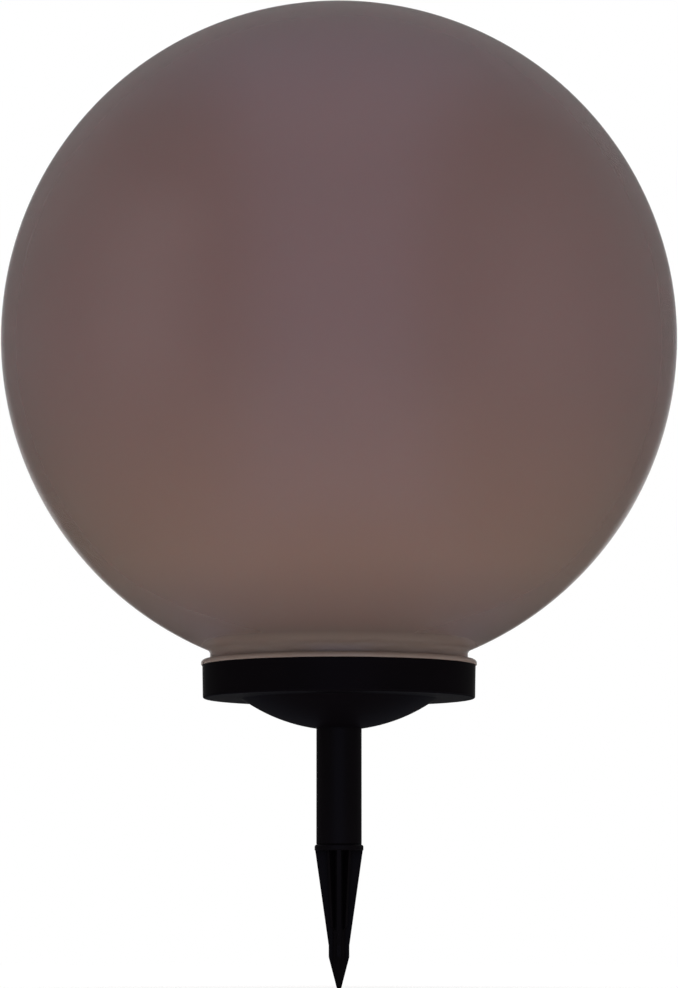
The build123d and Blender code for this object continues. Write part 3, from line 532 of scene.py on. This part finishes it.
bpy.context.scene.view_settings.view_transform = "Standard"
camera()
studio_world()
studio_floor(cad_box[0].z, Vector((0, 0, cad_box[1].z - (cad_box[1].x - cad_box[0].x) / 2)))
for lamp in SOFTBOXES:
    softbox(*lamp)

globe = globe_shell()
globe.data.materials.append(smoked_acrylic())
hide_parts("globe")
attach(globe, "globe")

# Injection-moulded black polypropylene: near black with a soft sheen, on a spark-eroded grain
black = ("#060406", "#090609")
housing = moulded("moulded_polypropylene_housing", black, 0.45, 0.6, 0.02, IOR=1.49, Specular_IOR_Level=0.03)
# The pole is extruded from the same resin, a little smoother
pole = moulded("extruded_polypropylene_pole", black, 0.4, 0.8, 0.015, IOR=1.49, Specular_IOR_Level=0.06)
spike = moulded("moulded_polypropylene_spike", black, 0.42, 0.9, 0.02, IOR=1.49, Specular_IOR_Level=0.06)
# The holder's polypropylene is unpainted, a shade greyer
holder = moulded("moulded_polypropylene_holder", ("#141416", "#1a1a1c"), 0.5, 0.6, 0.02, IOR=1.49)
# Injection-moulded ABS: a dark grey with a low gloss
drum = moulded("moulded_abs_drum", ("#1c1b1c", "#242223"), 0.4, 0.7, 0.02, IOR=1.53)
knob = moulded("moulded_abs_knob", ("#26262a", "#2e2e32"), 0.35, 0.5, 0.02, IOR=1.53)
# Moulded EPDM rubber: dull black, with a bloom that greys it
rubber = moulded("moulded_epdm_rubber", ("#111111", "#1d1d1c"), 0.75, 1.2, 0.04, IOR=1.5)
# Extruded PVC insulation: red, with a waxy gloss
vinyl = moulded("extruded_pvc_insulation", ("#7d1616", "#8c1d1b"), 0.4, 1.5, 0.02, IOR=1.53)
# Glass-filled nylon: charcoal, with the fibres at its surface
nylon = moulded("glass_filled_nylon", ("#2a2a2b", "#37373a"), 0.55, 0.8, 0.03, IOR=1.53)
# Cast epoxy lens: pale yellow from the phosphor behind it, and glossy
epoxy = moulded("cast_epoxy_lens", ("#e8e4c8", "#e6d794"), 0.12, 2.5, 0.01, IOR=1.54, Subsurface_Weight=0.2)
zinc = plated("zinc_plated_steel", ("#a6a7a8", "#c9cac9"), (0.25, 0.4), 0.8)
nickel = plated("nickel_plated_spring_steel", ("#b3aea6", "#cdc8be"), (0.18, 0.3), 1.0)
# Woven glass in epoxy under a green solder mask, with the tracks showing as raised paler lines
board = courses("fr4_with_solder_mask", ("#0e3d1c", "#2c7a40"), 0.12, 2.5, 3.0, (0.35, 0.25), 0.05, IOR=1.5)
# Woven glass in epoxy, pressed bare: dark blue-grey with its threads just visible, drawn 1.2 mm apart to show
laminate = courses("epoxy_glass_laminate", ("#151a26", "#262e40"), 0.1, 1.2, 1.0, (0.15, 0.25), 0.01, IOR=1.5)
MATERIALS = {
    housing: ["base_housing"],
    pole: ["pole_tube"],
    spike: ["ground_spike"],
    drum: ["light_drum"],
    holder: ["battery_holder"],
    knob: ["switch_knob"],
    rubber: ["globe_gasket", "drum_seal"],
    vinyl: ["battery_leads", "panel_leads", "ring_board_leads", "switch_leads"],
    nylon: ["board_parts", "switch_body"],
    epoxy: ["leds"],
    zinc: ["drum_screws", "ring_board_screws", "board_screws", "holder_screws", "switch_screws"],
    nickel: ["battery_contacts"],
    board: ["ring_board", "control_board"],
    laminate: ["solar_panel"],
    polycrystalline_silicon(): ["solar_cells"],
    sleeved_cell(): ["batteries"],
}
for material, names in MATERIALS.items():
    for name in names:
        nodes[name].material_slots[0].material = material
